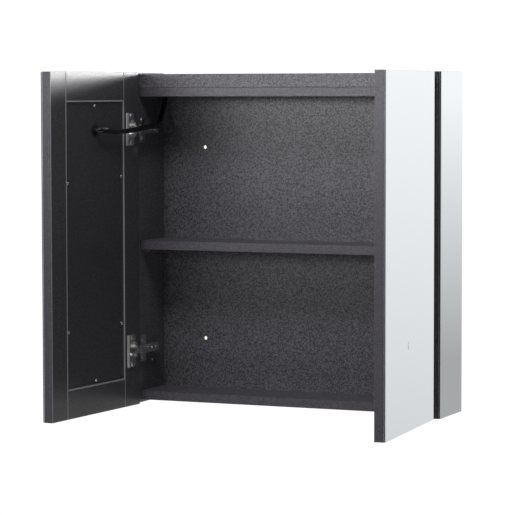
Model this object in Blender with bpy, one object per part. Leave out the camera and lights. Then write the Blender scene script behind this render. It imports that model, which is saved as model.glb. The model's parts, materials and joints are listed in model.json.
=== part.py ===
"""Mirrored bathroom wall cabinet, 600 x 600 mm, its two doors standing open on concealed hinges."""

import math

import bmesh
import bpy
from mathutils import Matrix, Vector

MM = 0.001

# Carcass
HEIGHT = 600 * MM
HALF_WIDTH = 300 * MM
DEPTH = 115 * MM
GAP = 0.3 * MM
BOARD_T = 16 * MM
SIDE_T = 12 * MM
BACKING_SET_BACK = 0.5 * MM
SIDE_MIRROR_T = 4 * MM
INNER_X = 281 * MM
FRONT_SET_BACK = 11.5 * MM
BACK_T = 5 * MM
BOTTOM_Z = 5.5 * MM
SHELF_Z = 280 * MM
TOP_Z = 557 * MM
FASCIA_TOP_Z = 597.4 * MM
SHELF_SIDE_PLAY = 1 * MM
SHELF_REAR_PLAY = 2 * MM
WALL_HOLE_D = 8 * MM
WALL_HOLE_X = 196 * MM
WALL_HOLE_ZS = (112 * MM, 464 * MM)
PIN_D = 5 * MM
PIN_REACH = 8 * MM
PIN_YS = (34 * MM, 88 * MM)

# Doors, open at rest
DOOR_W = 296 * MM
DOOR_BOARD_T = 15.9 * MM
DOOR_T = 19 * MM
STILE_W = 51.5 * MM
RAIL_H = 52 * MM
PANEL_RECESS = 2.5 * MM
PANEL_T = 3 * MM
OPEN_ANGLE = math.radians(94.1)
SHUT_CORNER = (297 * MM, -2.5 * MM)
OPEN_CORNER = (272.2 * MM, -10.5 * MM)
LIGHT_BOARD_T = 3 * MM
LIGHT_BOARD_MARGIN = 14 * MM
LIGHT_BOARD_Z = (180 * MM, 528 * MM)
TOUCH_T = 5 * MM
TOUCH_U = (145 * MM, 175 * MM)
TOUCH_Z = (132 * MM, 156 * MM)

# Concealed hinges
HINGE_ZS = {"lower": 99.5 * MM, "upper": 498.5 * MM}
CUP_U = 22.5 * MM
CUP_D = 34.8 * MM
CUP_BORE_D = 35.4 * MM
CUP_DEPTH = 12 * MM
CUP_WALL = 1.1 * MM
FLANGE_U = (17 * MM, 46 * MM)
FLANGE_HALF_H = 29.5 * MM
FLANGE_PROUD = 1.5 * MM
ARM_FRONT_Y = -10.7 * MM
ARM_WEB_FRONT_Y = -3.5 * MM
ARM_REAR_Y = 63 * MM
ARM_TOP_X = 268 * MM
ARM_FOOT_X = 278.4 * MM
ARM_HALF_W = 7.5 * MM
ARM_SHEET = 1.2 * MM
PLATE_T = 1.8 * MM
PLATE_WING_Y = (7.5 * MM, 31 * MM)
PLATE_WING_HALF_H = 24.5 * MM
PLATE_RIB_Y = (11 * MM, 58 * MM)
RIB_PLAY = 0.4 * MM
LINK_PIVOT = (269 * MM, -8.5 * MM)
LINK_PIN_RADIUS = 11 * MM
LINK_T = 1.6 * MM
LINK_SHORT = 1.8 * MM
LINK_HALF_W = 5.9 * MM
LINK_BARREL_D = 3.4 * MM

# Cables and wiring
DRIVER_X = (-90 * MM, 70 * MM)
DRIVER_Y = (48 * MM, 90 * MM)
DRIVER_H = 19 * MM
CABLE_D = 9.2 * MM
CABLE_U = 147.5 * MM
CABLE_Z = 498.5 * MM
CABLE_HOLE = (268 * MM, 92 * MM)
CABLE_HOLE_D = 14 * MM
GROMMET_D = 21 * MM
GROMMET_NECK_D = 15.4 * MM
GROMMET_BORE_D = 10.2 * MM
PANEL_HOLE_D = 16 * MM

MELAMINE = ("Anthracite melamine", (0.062, 0.060, 0.067), 0.55, 0.0)
FRAME_FILM = ("Black frame melamine", (0.030, 0.029, 0.033), 0.45, 0.0)
PANEL_FILM = ("Black panel film", (0.010, 0.010, 0.011), 0.40, 0.0)
BACKING = ("Black mirror backing", (0.012, 0.012, 0.013), 0.70, 0.0)
SILVERED = ("Silvered mirror glass", (0.86, 0.88, 0.89), 0.03, 1.0)
NICKEL = ("Nickel plated steel", (0.56, 0.55, 0.53), 0.25, 1.0)
RUBBER = ("Black cable sleeve", (0.008, 0.008, 0.009), 0.30, 0.0)
WHITE_PLASTIC = ("White polycarbonate", (0.72, 0.72, 0.70), 0.45, 0.0)

SIDES = {"left": -1, "right": 1}


def clear_scene():
    for obj in list(bpy.data.objects):
        bpy.data.objects.remove(obj)


def new_collection(name, hidden=False):
    collection = bpy.data.collections.new(name)
    bpy.context.scene.collection.children.link(collection)
    collection.hide_render = hidden
    return collection


def material(spec):
    name, colour, roughness, metallic = spec
    found = bpy.data.materials.get(name)
    if found:
        return found
    made = bpy.data.materials.new(name)
    made.use_nodes = True
    shader = made.node_tree.nodes["Principled BSDF"]
    shader.inputs["Base Color"].default_value = (*colour, 1)
    shader.inputs["Roughness"].default_value = roughness
    shader.inputs["Metallic"].default_value = metallic
    return made


def object_from(bm, name, spec, parent=None):
    """A named part from a bmesh; it consumes the bmesh."""
    bmesh.ops.recalc_face_normals(bm, faces=bm.faces)
    mesh = bpy.data.meshes.new(name)
    bm.to_mesh(mesh)
    bm.free()
    obj = bpy.data.objects.new(name, mesh)
    mesh.materials.append(material(spec))
    PARTS.objects.link(obj)
    obj.parent = parent or WALL_ORIGIN
    return obj


def new_empty(name, location, parent=None):
    empty = bpy.data.objects.new(name, None)
    empty.location = location
    empty.parent = parent
    PARTS.objects.link(empty)
    return empty


def as_cutter(obj):
    PARTS.objects.unlink(obj)
    CUTTERS.objects.link(obj)
    obj.hide_render = True
    obj.display_type = "WIRE"
    return obj


def add_box(bm, lo, hi):
    size = [abs(b - a) for a, b in zip(lo, hi)]
    middle = [(a + b) / 2 for a, b in zip(lo, hi)]
    matrix = Matrix.Translation(middle) @ Matrix.Diagonal((*size, 1))
    bmesh.ops.create_cube(bm, size=1, matrix=matrix)


def box(name, lo, hi, spec, parent=None):
    bm = bmesh.new()
    add_box(bm, lo, hi)
    return object_from(bm, name, spec, parent)


def cylinder(name, start, end, diameter, spec, parent=None, segments=32):
    start = Vector(start)
    axis = Vector(end) - start
    turn = axis.to_track_quat("Z", "Y").to_matrix().to_4x4()
    bm = bmesh.new()
    bmesh.ops.create_cone(
        bm,
        cap_ends=True,
        segments=segments,
        radius1=diameter / 2,
        radius2=diameter / 2,
        depth=axis.length,
        matrix=Matrix.Translation(start + axis / 2) @ turn,
    )
    return object_from(bm, name, spec, parent)


def boolean(obj, other, operation):
    modifier = obj.modifiers.new(f"{operation} {other.name}", "BOOLEAN")
    modifier.operation = operation
    modifier.solver = "EXACT"
    modifier.object = other
    return obj


def cut(obj, cutter):
    return boolean(obj, as_cutter(cutter), "DIFFERENCE")


def join(obj, other):
    return boolean(obj, as_cutter(other), "UNION")


def outline_solid(name, points, half_depth, matrix, spec, parent=None):
    """A flat outline, filled and drawn out both ways along its own Z, as a mesh."""
    data = bpy.data.curves.new(name, "CURVE")
    data.dimensions = "2D"
    data.fill_mode = "BOTH"
    data.extrude = half_depth
    spline = data.splines.new("POLY")
    spline.points.add(len(points) - 1)
    for point, (x, y) in zip(spline.points, points):
        point.co = (x, y, 0, 1)
    spline.use_cyclic_u = True
    helper = bpy.data.objects.new(name + " outline", data)
    PARTS.objects.link(helper)
    graph = bpy.context.evaluated_depsgraph_get()
    mesh = bpy.data.meshes.new_from_object(helper.evaluated_get(graph))
    bpy.data.objects.remove(helper)
    bm = bmesh.new()
    bm.from_mesh(mesh)
    bpy.data.meshes.remove(mesh)
    bmesh.ops.remove_doubles(bm, verts=bm.verts, dist=1e-6)
    bmesh.ops.transform(bm, matrix=matrix, verts=bm.verts)
    return object_from(bm, name, spec, parent)


def rounded_rectangle(x0, x1, y0, y1, radius, steps=4):
    corners = ((x1, y1, 0), (x0, y1, 90), (x0, y0, 180), (x1, y0, 270))
    points = []
    for x, y, start in corners:
        cx = x - math.copysign(radius, x - (x0 + x1) / 2)
        cy = y - math.copysign(radius, y - (y0 + y1) / 2)
        for i in range(steps + 1):
            angle = math.radians(start + 90 * i / steps)
            points.append((cx + radius * math.cos(angle), cy + radius * math.sin(angle)))
    return points


def thick_line(points, thickness):
    """The outline of a strip of even thickness that follows these points."""
    path = [Vector(p) for p in points]
    left = []
    right = []
    for i, point in enumerate(path):
        before = path[max(i - 1, 0)]
        after = path[min(i + 1, len(path) - 1)]
        along = (after - before).normalized()
        across = Vector((-along.y, along.x)) * thickness / 2
        left.append(point + across)
        right.append(point - across)
    return [tuple(p) for p in left + right[::-1]]


def hinge_axis():
    """Where one fixed axis must stand to carry a door between its shut and its open place."""
    shut = Vector(SHUT_CORNER)
    opened = Vector(OPEN_CORNER)
    chord = opened - shut
    aside = Vector((-chord.y, chord.x)) * 0.5 / math.tan(OPEN_ANGLE / 2)
    return (shut + opened) / 2 + aside


AXIS = hinge_axis()
AXIS_U = SHUT_CORNER[0] - AXIS.x
AXIS_W = SHUT_CORNER[1] - AXIS.y


def door_empty(side):
    """A door's frame on its axis: X runs along the door, Y out through the mirror."""
    s = SIDES[side]
    empty = new_empty(f"{side}_door_axis", (s * AXIS.x, AXIS.y, 0), WALL_ORIGIN)
    empty.rotation_euler = (0, 0, s * (OPEN_ANGLE - math.pi))
    return empty


def door_box(name, side, empty, u, w, z, spec):
    """A box between distances u from the hinge edge and depths w from the inner face."""
    s = SIDES[side]
    lo = (s * (u[0] - AXIS_U), w[0] - AXIS_W, z[0])
    hi = (s * (u[1] - AXIS_U), w[1] - AXIS_W, z[1])
    return box(name, lo, hi, spec, empty)


def door_point(side, u, w, z):
    s = SIDES[side]
    return Vector((s * (u - AXIS_U), w - AXIS_W, z))


def door_cylinder(name, side, empty, u, z, w0, w1, diameter, spec, segments=32):
    start = door_point(side, u, w0, z)
    end = door_point(side, u, w1, z)
    return cylinder(name, start, end, diameter, spec, empty, segments)


def link_pin():
    """The link's cup pin with the door open, as far from the pivot as with the door shut."""
    arm = Vector(LINK_PIVOT) - AXIS
    angle = math.atan2(arm.y, arm.x) + OPEN_ANGLE / 2
    return AXIS + LINK_PIN_RADIUS * Vector((math.cos(angle), math.sin(angle)))


# Carcass parts

def side_wall(side):
    s = SIDES[side]
    top = HEIGHT - GAP
    board = INNER_X + SIDE_T
    glass = HALF_WIDTH - SIDE_MIRROR_T
    box(f"side_board_{side}", (s * INNER_X, 0, 0), (s * board, DEPTH, top), MELAMINE)
    inner = (s * (board + GAP), BACKING_SET_BACK, 0)
    box(f"side_backing_{side}", inner, (s * (glass - GAP), DEPTH, top), BACKING)
    box(f"side_mirror_{side}", (s * glass, 0, 0), (s * HALF_WIDTH, DEPTH, HEIGHT), SILVERED)


def across_board(name, z0, z1, y1, x=INNER_X - GAP):
    return box(name, (-x, FRONT_SET_BACK, z0), (x, y1, z1), MELAMINE)


def horizontal_boards():
    rear = DEPTH - BACK_T - GAP
    across_board("bottom_board", BOTTOM_Z, BOTTOM_Z + BOARD_T, rear)
    top = across_board("top_board", TOP_Z, TOP_Z + BOARD_T, rear)
    for side, s in SIDES.items():
        x = s * CABLE_HOLE[0]
        start = (x, CABLE_HOLE[1], TOP_Z - BOARD_T)
        end = (x, CABLE_HOLE[1], TOP_Z + 2 * BOARD_T)
        cut(top, cylinder(f"cable_hole_{side}", start, end, CABLE_HOLE_D, MELAMINE))
    across_board("shelf", SHELF_Z, SHELF_Z + BOARD_T, rear - SHELF_REAR_PLAY, INNER_X - SHELF_SIDE_PLAY)


def fascia():
    z0 = TOP_Z + BOARD_T + GAP
    across_board("top_fascia", z0, FASCIA_TOP_Z, FRONT_SET_BACK + BOARD_T)


def back_panel():
    x = INNER_X - GAP
    lo = (-x, DEPTH - BACK_T, BOTTOM_Z)
    panel = box("back_panel", lo, (x, DEPTH, FASCIA_TOP_Z), MELAMINE)
    for side, s in SIDES.items():
        for i, z in enumerate(WALL_HOLE_ZS):
            start = (s * WALL_HOLE_X, DEPTH - 3 * BACK_T, z)
            end = (s * WALL_HOLE_X, DEPTH + 2 * BACK_T, z)
            hole = cylinder(f"wall_hole_{side}_{i}", start, end, WALL_HOLE_D, MELAMINE)
            cut(panel, hole)


def shelf_pins():
    for side, s in SIDES.items():
        for place, y in zip(("front", "rear"), PIN_YS):
            z = SHELF_Z - PIN_D / 2 - GAP
            start = (s * (INNER_X - GAP), y, z)
            end = (s * (INNER_X - PIN_REACH), y, z)
            cylinder(f"shelf_pin_{side}_{place}", start, end, PIN_D, NICKEL, segments=20)


def light_driver():
    z0 = TOP_Z + BOARD_T + GAP
    x0, x1 = DRIVER_X
    y0, y1 = DRIVER_Y
    box("light_driver", (x0, y0, z0), (x1, y1, z0 + DRIVER_H), WHITE_PLASTIC)


# Door parts

def door_frame(side, empty):
    board = (0, DOOR_BOARD_T)
    full = (0, HEIGHT)
    name = f"{side}_door_hinge_stile"
    hinge = door_box(name, side, empty, (0, STILE_W), board, full, FRAME_FILM)
    for place, z in HINGE_ZS.items():
        bore = door_cylinder(
            f"{side}_bore_{place}", side, empty, CUP_U, z,
            -5 * MM, CUP_DEPTH + 0.6 * MM, CUP_BORE_D, FRAME_FILM, 40,
        )
        cut(hinge, bore)
    free = (DOOR_W - STILE_W, DOOR_W)
    door_box(f"{side}_door_free_stile", side, empty, free, board, full, FRAME_FILM)
    between = (STILE_W + GAP, DOOR_W - STILE_W - GAP)
    upper = (HEIGHT - RAIL_H, HEIGHT)
    door_box(f"{side}_door_top_rail", side, empty, between, board, upper, FRAME_FILM)
    door_box(f"{side}_door_bottom_rail", side, empty, between, board, (0, RAIL_H), FRAME_FILM)


def door_panel(side, empty):
    u = (STILE_W + GAP, DOOR_W - STILE_W - GAP)
    w = (PANEL_RECESS, PANEL_RECESS + PANEL_T)
    z = (RAIL_H + GAP, HEIGHT - RAIL_H - GAP)
    panel = door_box(f"{side}_door_inner_panel", side, empty, u, w, z, PANEL_FILM)
    hole = door_cylinder(
        f"{side}_panel_hole", side, empty, CABLE_U, CABLE_Z,
        -10 * MM, 14 * MM, PANEL_HOLE_D, PANEL_FILM,
    )
    cut(panel, hole)


def door_glass(side, empty):
    w = (DOOR_BOARD_T + 0.2 * MM, DOOR_T)
    door_box(f"{side}_door_mirror", side, empty, (0, DOOR_W), w, (0, HEIGHT), SILVERED)


def light_board(side, empty):
    w1 = DOOR_BOARD_T - GAP
    w = (w1 - LIGHT_BOARD_T, w1)
    margin = STILE_W + LIGHT_BOARD_MARGIN
    u = (margin, DOOR_W - margin)
    door_box(f"{side}_light_board", side, empty, u, w, LIGHT_BOARD_Z, WHITE_PLASTIC)


def touch_module(empty):
    w1 = DOOR_BOARD_T - GAP
    door_box("touch_module", "right", empty, TOUCH_U, (w1 - TOUCH_T, w1), TOUCH_Z, WHITE_PLASTIC)


def grommet(side, empty):
    name = f"{side}_cable_grommet"
    head = PANEL_RECESS - 1.6 * MM
    ring = door_cylinder(
        name, side, empty, CABLE_U, CABLE_Z,
        head, PANEL_RECESS - GAP, GROMMET_D, RUBBER,
    )
    neck = door_cylinder(
        name + "_neck", side, empty, CABLE_U, CABLE_Z,
        head + 0.5 * MM, PANEL_RECESS + PANEL_T + 1 * MM, GROMMET_NECK_D, RUBBER,
    )
    bore = door_cylinder(
        name + "_bore", side, empty, CABLE_U, CABLE_Z,
        -6 * MM, 15 * MM, GROMMET_BORE_D, RUBBER,
    )
    join(ring, neck)
    cut(ring, bore)


# Hinge parts

def hinge_cup(side, place, empty):
    name = f"{side}_{place}_hinge_cup"
    z = HINGE_ZS[place]
    cup = door_cylinder(name, side, empty, CUP_U, z, -0.4 * MM, CUP_DEPTH, CUP_D, NICKEL, 40)
    s = SIDES[side]
    u0, u1 = (s * (u - AXIS_U) for u in FLANGE_U)
    points = rounded_rectangle(min(u0, u1), max(u0, u1), -FLANGE_HALF_H, FLANGE_HALF_H, 5 * MM)
    middle = -AXIS_W - (FLANGE_PROUD + 0.2 * MM) / 2
    half = (FLANGE_PROUD - 0.2 * MM) / 2
    place_it = Matrix.Translation((0, middle, z)) @ Matrix.Rotation(math.pi / 2, 4, "X")
    flange = outline_solid(name + "_flange", points, half, place_it, NICKEL, empty)
    join(cup, flange)
    bore = CUP_D - 2 * CUP_WALL
    inside = door_cylinder(
        name + "_inside", side, empty, CUP_U, z,
        -8 * MM, CUP_DEPTH - CUP_WALL, bore, NICKEL, 40,
    )
    cut(cup, inside)


def hinge_plate(side, place):
    """A cross mounting plate: two screw wings and the rib that the arm slides over."""
    s = SIDES[side]
    z = HINGE_ZS[place]
    name = f"{side}_{place}_hinge_plate"
    foot = INNER_X - GAP
    face = foot - PLATE_T
    points = rounded_rectangle(*PLATE_WING_Y, -PLATE_WING_HALF_H, PLATE_WING_HALF_H, 3 * MM)
    turn = Matrix(((0, 0, 1, 0), (1, 0, 0, 0), (0, 1, 0, 0), (0, 0, 0, 1)))
    where = Matrix.Translation((s * (foot + face) / 2, 0, z)) @ turn
    plate = outline_solid(name, points, PLATE_T / 2, where, NICKEL)
    half = ARM_HALF_W - ARM_SHEET - RIB_PLAY
    top = ARM_TOP_X + ARM_SHEET + RIB_PLAY
    y0, y1 = PLATE_RIB_Y
    rib = box(name + "_rib", (s * top, y0, z - half), (s * foot, y1, z + half), NICKEL)
    join(plate, rib)


def hinge_arm(side, place):
    """A folded channel with two cheeks at its nose that carry the link."""
    s = SIDES[side]
    z = HINGE_ZS[place]
    name = f"{side}_{place}_hinge_arm"
    half = ARM_HALF_W
    front = (s * ARM_TOP_X, ARM_WEB_FRONT_Y, z - half)
    web = box(name, front, (s * (ARM_TOP_X + ARM_SHEET), ARM_REAR_Y, z + half), NICKEL)
    for tag, edge in (("low", -1), ("high", 1)):
        z0, z1 = sorted((z + edge * half, z + edge * (half - ARM_SHEET)))
        outline = [
            (ARM_FRONT_Y + 1.5 * MM, ARM_TOP_X - 1.4 * MM),
            (ARM_FRONT_Y, ARM_TOP_X),
            (ARM_FRONT_Y, ARM_TOP_X + 2.2 * MM),
            (ARM_FRONT_Y + 1 * MM, ARM_TOP_X + 3.3 * MM),
            (1.5 * MM, ARM_TOP_X + 3.3 * MM),
            (9 * MM, ARM_FOOT_X),
            (ARM_REAR_Y - 9 * MM, ARM_FOOT_X),
            (ARM_REAR_Y, ARM_TOP_X + 4 * MM),
            (ARM_REAR_Y, ARM_TOP_X),
            (-3 * MM, ARM_TOP_X),
            (-5.5 * MM, ARM_TOP_X - 1.4 * MM),
        ]
        points = [(s * x, y) for y, x in outline]
        where = Matrix.Translation((0, 0, (z0 + z1) / 2))
        join(web, outline_solid(f"{name}_{tag}", points, ARM_SHEET / 2, where, NICKEL))


def hinge_link(side, place, empty):
    """A bent plate from the arm's nose into the cup, its frame on the nose pivot."""
    s = SIDES[side]
    z = HINGE_ZS[place]
    pivot = Vector(LINK_PIVOT)
    pin = link_pin()
    path = [
        pivot,
        pivot + Vector((0.6 * MM, -4 * MM)),
        pivot + Vector((1.4 * MM, -7.5 * MM)),
        pivot + Vector((3.0 * MM, -10.6 * MM)),
        pin + (pivot - pin).normalized() * LINK_SHORT,
    ]
    strip = thick_line([p - pivot for p in path], LINK_T)
    points = [(s * x, y) for x, y in strip]
    name = f"{side}_{place}_hinge_link"
    place_it = Matrix.Translation((0, 0, z))
    link = outline_solid(name, points, LINK_HALF_W, place_it, NICKEL, empty)
    low = (0, 0, z - LINK_HALF_W)
    high = (0, 0, z + LINK_HALF_W)
    join(link, cylinder(name + "_barrel", low, high, LINK_BARREL_D, NICKEL, empty, 20))


def link_empty(side):
    location = (SIDES[side] * LINK_PIVOT[0], LINK_PIVOT[1], 0)
    return new_empty(f"{side}_link_axis", location, WALL_ORIGIN)


# Cables

def smooth_path(points, step):
    """Points at even steps along a Catmull-Rom line through these."""
    padded = [2 * points[0] - points[1], *points, 2 * points[-1] - points[-2]]
    found = []
    for a, b, c, d in zip(padded, padded[1:], padded[2:], padded[3:]):
        count = max(1, round((c - b).length / step))
        for i in range(count):
            t = i / count
            first = 2 * b + (c - a) * t
            second = (2 * a - 5 * b + 4 * c - d) * t * t
            third = (3 * b - a - 3 * c + d) * t * t * t
            found.append(0.5 * (first + second + third))
    return [*found, points[-1]]


def cable_points(side):
    """From inside the door, out of its grommet, over the upper hinge and up through the top board."""
    s = SIDES[side]
    turn = OPEN_ANGLE - math.pi
    spin = Matrix.Rotation(s * turn, 4, "Z")
    origin = Vector((s * AXIS.x, AXIS.y, 0))

    def on_door(u, w, dz):
        return origin + spin @ door_point(side, u, w, CABLE_Z + dz)

    hole_x = s * CABLE_HOLE[0]
    hole_y = CABLE_HOLE[1]
    return [
        on_door(CABLE_U, 9.0 * MM, 0),
        on_door(CABLE_U, 4.0 * MM, 0),
        on_door(CABLE_U, -2.5 * MM, 0),
        on_door(CABLE_U - 4.5 * MM, -9.0 * MM, 0),
        on_door(CABLE_U - 16 * MM, -12.5 * MM, 0),
        on_door(110 * MM, -13.0 * MM, -2.8 * MM),
        on_door(75 * MM, -13.5 * MM, -2.8 * MM),
        on_door(40 * MM, -15 * MM, -0.8 * MM),
        on_door(12 * MM, -16 * MM, 2.2 * MM),
        Vector((s * 257.5 * MM, 14 * MM, 503 * MM)),
        Vector((s * 259 * MM, 40 * MM, 503.5 * MM)),
        Vector((s * 263 * MM, 60 * MM, 511 * MM)),
        Vector((s * 266.5 * MM, 74 * MM, 523 * MM)),
        Vector((hole_x, hole_y - 6 * MM, 537 * MM)),
        Vector((hole_x, hole_y, 550 * MM)),
        Vector((hole_x, hole_y, 565 * MM)),
        Vector((hole_x, hole_y, 580 * MM)),
    ]


def cable(side):
    name = f"{side}_cable"
    points = smooth_path(cable_points(side), 6 * MM)
    data = bpy.data.curves.new(name, "CURVE")
    data.dimensions = "3D"
    data.bevel_depth = CABLE_D / 2
    data.bevel_resolution = 2
    data.use_fill_caps = True
    spline = data.splines.new("POLY")
    spline.points.add(len(points) - 1)
    for point, place in zip(spline.points, points):
        point.co = (*place, 1)
    data.materials.append(material(RUBBER))
    obj = bpy.data.objects.new(name, data)
    obj.parent = WALL_ORIGIN
    PARTS.objects.link(obj)


def carcass():
    for side in SIDES:
        side_wall(side)
    horizontal_boards()
    fascia()
    back_panel()
    shelf_pins()
    light_driver()


def door(side):
    empty = door_empty(side)
    door_frame(side, empty)
    door_panel(side, empty)
    door_glass(side, empty)
    light_board(side, empty)
    grommet(side, empty)
    for place in HINGE_ZS:
        hinge_cup(side, place, empty)
    if side == "right":
        touch_module(empty)


def hinges(side):
    pivot = link_empty(side)
    for place in HINGE_ZS:
        hinge_plate(side, place)
        hinge_arm(side, place)
        hinge_link(side, place, pivot)


clear_scene()
PARTS = new_collection("Mirror cabinet")
CUTTERS = new_collection("Cutters", hidden=True)
WALL_ORIGIN = new_empty("wall_origin", (0, -DEPTH, -HEIGHT / 2))
carcass()
for which in SIDES:
    door(which)
    hinges(which)
    cable(which)
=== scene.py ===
"""Looks for an open mirror cabinet: melamine, glass, nickel and cables round the CAD frame, and a studio."""

import json
import math

import bmesh
import bpy
from bpy.props import FloatProperty, FloatVectorProperty, IntProperty, PointerProperty
from mathutils import Matrix, Vector

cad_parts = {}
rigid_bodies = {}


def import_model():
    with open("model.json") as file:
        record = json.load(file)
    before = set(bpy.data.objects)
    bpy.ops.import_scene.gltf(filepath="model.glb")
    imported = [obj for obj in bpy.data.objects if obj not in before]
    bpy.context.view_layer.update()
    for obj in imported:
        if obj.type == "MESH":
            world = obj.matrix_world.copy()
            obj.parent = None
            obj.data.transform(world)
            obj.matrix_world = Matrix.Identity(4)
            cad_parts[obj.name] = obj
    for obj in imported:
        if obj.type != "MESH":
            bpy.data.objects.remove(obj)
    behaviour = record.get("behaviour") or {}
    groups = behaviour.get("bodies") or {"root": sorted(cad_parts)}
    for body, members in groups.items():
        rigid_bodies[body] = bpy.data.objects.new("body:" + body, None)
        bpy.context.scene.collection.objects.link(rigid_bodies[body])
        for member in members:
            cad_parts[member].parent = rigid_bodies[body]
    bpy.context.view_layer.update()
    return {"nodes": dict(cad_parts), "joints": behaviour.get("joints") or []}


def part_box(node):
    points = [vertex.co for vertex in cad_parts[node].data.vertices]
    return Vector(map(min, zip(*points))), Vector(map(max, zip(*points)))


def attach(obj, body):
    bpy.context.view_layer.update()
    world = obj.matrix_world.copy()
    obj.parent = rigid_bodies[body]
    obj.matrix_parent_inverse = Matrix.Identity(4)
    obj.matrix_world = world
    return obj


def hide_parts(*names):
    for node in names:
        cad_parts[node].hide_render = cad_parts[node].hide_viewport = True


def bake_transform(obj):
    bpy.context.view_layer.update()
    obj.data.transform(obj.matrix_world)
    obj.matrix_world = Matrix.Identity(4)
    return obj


bl_info = {
    "name": "Mirror Cabinet",
    "version": (1, 0, 0),
    "blender": (4, 5, 0),
    "location": "3D View > Sidebar > Cabinet",
    "description": "Builds the finished look of a wall-hung mirror cabinet on its CAD frame",
    "category": "Object",
}

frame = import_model()

MM = 0.001
SIDES = {"left": -1, "right": 1}
PLACES = ("lower", "upper")

# The shut door's hinge edge, from the cabinet's middle and from the wall, on its inner face
SHUT_DOOR_X = 297 * MM
SHUT_DOOR_Y = -117.5 * MM

CABLE_U = 147.5 * MM
CABLE_Z = 198.5 * MM
CABLE_D = 9.2 * MM
CABLE_HOLE_D = 14 * MM
CABLE_HOLE_X = 268 * MM
CABLE_HOLE_Y = -23 * MM
FIXING_HOLE_D = 8 * MM
FIXING_HOLE_X = 196 * MM
FIXING_HOLE_ZS = (-188 * MM, 164 * MM)

# Hinges: u runs along the door from its hinge edge, y is from the wall
CUP_U = 22.5 * MM
CUP_BORE_D = 35.4 * MM
CUP_BORE_DEPTH = 12.6 * MM
CUP_SCREW_U = 28.5 * MM
CUP_SCREW_SPACING = 48 * MM
FLANGE_PROUD = 1.5 * MM
FLANGE_ROLL_LOW = (38.5 * MM, -3.0 * MM, -29.3 * MM)
FLANGE_ROLL_HIGH = (45.8 * MM, -1.2 * MM, 29.3 * MM)
PLATE_FACE_X = 278.9 * MM
PLATE_SCREW_Y = -98.5 * MM
PLATE_SCREW_SPACING = 32 * MM
ARM_FACE_X = 268 * MM
ARM_SCREW_YS = (-81 * MM, -65 * MM)
ARM_SLOTS = ((-86 * MM, -76 * MM), (-69.5 * MM, -60.5 * MM))
ARM_SLOT_HALF_HEIGHT = 2 * MM

COVER_CAP_Y = -55 * MM
COVER_CAP_Z = -225.5 * MM
PANEL_SCREW_INSET = 6.5 * MM


# Measures taken from the frame

def hinge_joint(side):
    return next(j for j in frame["joints"] if j["name"] == f"{side}_door_swing")


def door_matrix(side):
    """From a door's own frame (u from the hinge edge, w out through its mirror, z up) to the row frame."""
    s = SIDES[side]
    joint = hinge_joint(side)
    pivot = Matrix.Translation(joint["pos_m"])
    opened = math.radians(-joint["range_deg"][0])
    shut = Matrix.Translation((s * SHUT_DOOR_X, SHUT_DOOR_Y, 0)) @ Matrix.Diagonal((-s, -1, 1, 1))
    return pivot @ Matrix.Rotation(s * opened, 4, "Z") @ pivot.inverted() @ shut


def door_span(side, node):
    """(lowest, highest) corner of a CAD node in its door's own frame."""
    back = door_matrix(side).inverted()
    points = [back @ v.co for v in frame["nodes"][node].data.vertices]
    low = Vector(min(p[i] for p in points) for i in range(3))
    high = Vector(max(p[i] for p in points) for i in range(3))
    return low, high


def hinge_height(side, place):
    low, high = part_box(f"{side}_{place}_hinge_arm")
    return (low.z + high.z) / 2


# Mesh helpers

def bevelled_box(bm, low, high, bevel=0.0, segments=2, matrix=None):
    """A box with all its edges rounded, added to the bmesh."""
    size = [abs(b - a) for a, b in zip(low, high)]
    middle = [(a + b) / 2 for a, b in zip(low, high)]
    place = Matrix.Translation(middle) @ Matrix.Diagonal((*size, 1))
    made = bmesh.ops.create_cube(bm, size=1, matrix=place)
    verts = made["verts"]
    if bevel:
        edges = list({edge for vert in verts for edge in vert.link_edges})
        rounded = bmesh.ops.bevel(
            bm, geom=edges, offset=bevel, segments=segments, profile=0.5, affect="EDGES", clamp_overlap=True
        )
        verts = list({v for v in rounded["verts"]} | {v for f in rounded["faces"] for v in f.verts})
    if matrix:
        linked = set(verts)
        for vert in verts:
            linked |= {v for face in vert.link_faces for v in face.verts}
        bmesh.ops.transform(bm, matrix=matrix, verts=list(linked))


def round_steps(count):
    """Unit vectors at even steps round a circle, in the plane of x and y."""
    angles = [2 * math.pi * i / count for i in range(count)]
    return [Vector((math.cos(angle), math.sin(angle), 0)) for angle in angles]


def turned(bm, profile, start, axis, segments=32):
    """A solid of revolution: (radius, distance along the axis) pairs, closed at both ends."""
    turn = Vector(axis).to_track_quat("Z", "Y").to_matrix().to_4x4()
    place = Matrix.Translation(start) @ turn
    rings = []
    for radius, along in profile:
        lift = Vector((0, 0, along))
        rings.append([bm.verts.new(place @ (radius * step + lift)) for step in round_steps(segments)])
    for ring, after in zip(rings, rings[1:]):
        for i in range(segments):
            j = (i + 1) % segments
            bm.faces.new((ring[i], ring[j], after[j], after[i]))
    bm.faces.new(rings[0][::-1])
    bm.faces.new(rings[-1])


def object_of(bm, name, *finishes):
    bmesh.ops.recalc_face_normals(bm, faces=bm.faces)
    mesh = bpy.data.meshes.new(name)
    bm.to_mesh(mesh)
    bm.free()
    obj = bpy.data.objects.new(name, mesh)
    bpy.context.scene.collection.objects.link(obj)
    for finish in finishes:
        mesh.materials.append(finish)
    return obj


def apply_modifiers(obj):
    graph = bpy.context.evaluated_depsgraph_get()
    mesh = bpy.data.meshes.new_from_object(obj.evaluated_get(graph))
    obj.modifiers.clear()
    obj.data = mesh
    return obj


def smooth(obj, degrees=35):
    """Smooth shading that leaves large faces flat up to their rounded edges."""
    obj.data.polygons.foreach_set("use_smooth", [True] * len(obj.data.polygons))
    obj.data.set_sharp_from_angle(angle=math.radians(degrees))
    modifier = obj.modifiers.new("Flat Faces", "WEIGHTED_NORMAL")
    modifier.keep_sharp = True
    modifier.weight = 100
    return apply_modifiers(obj)


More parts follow.
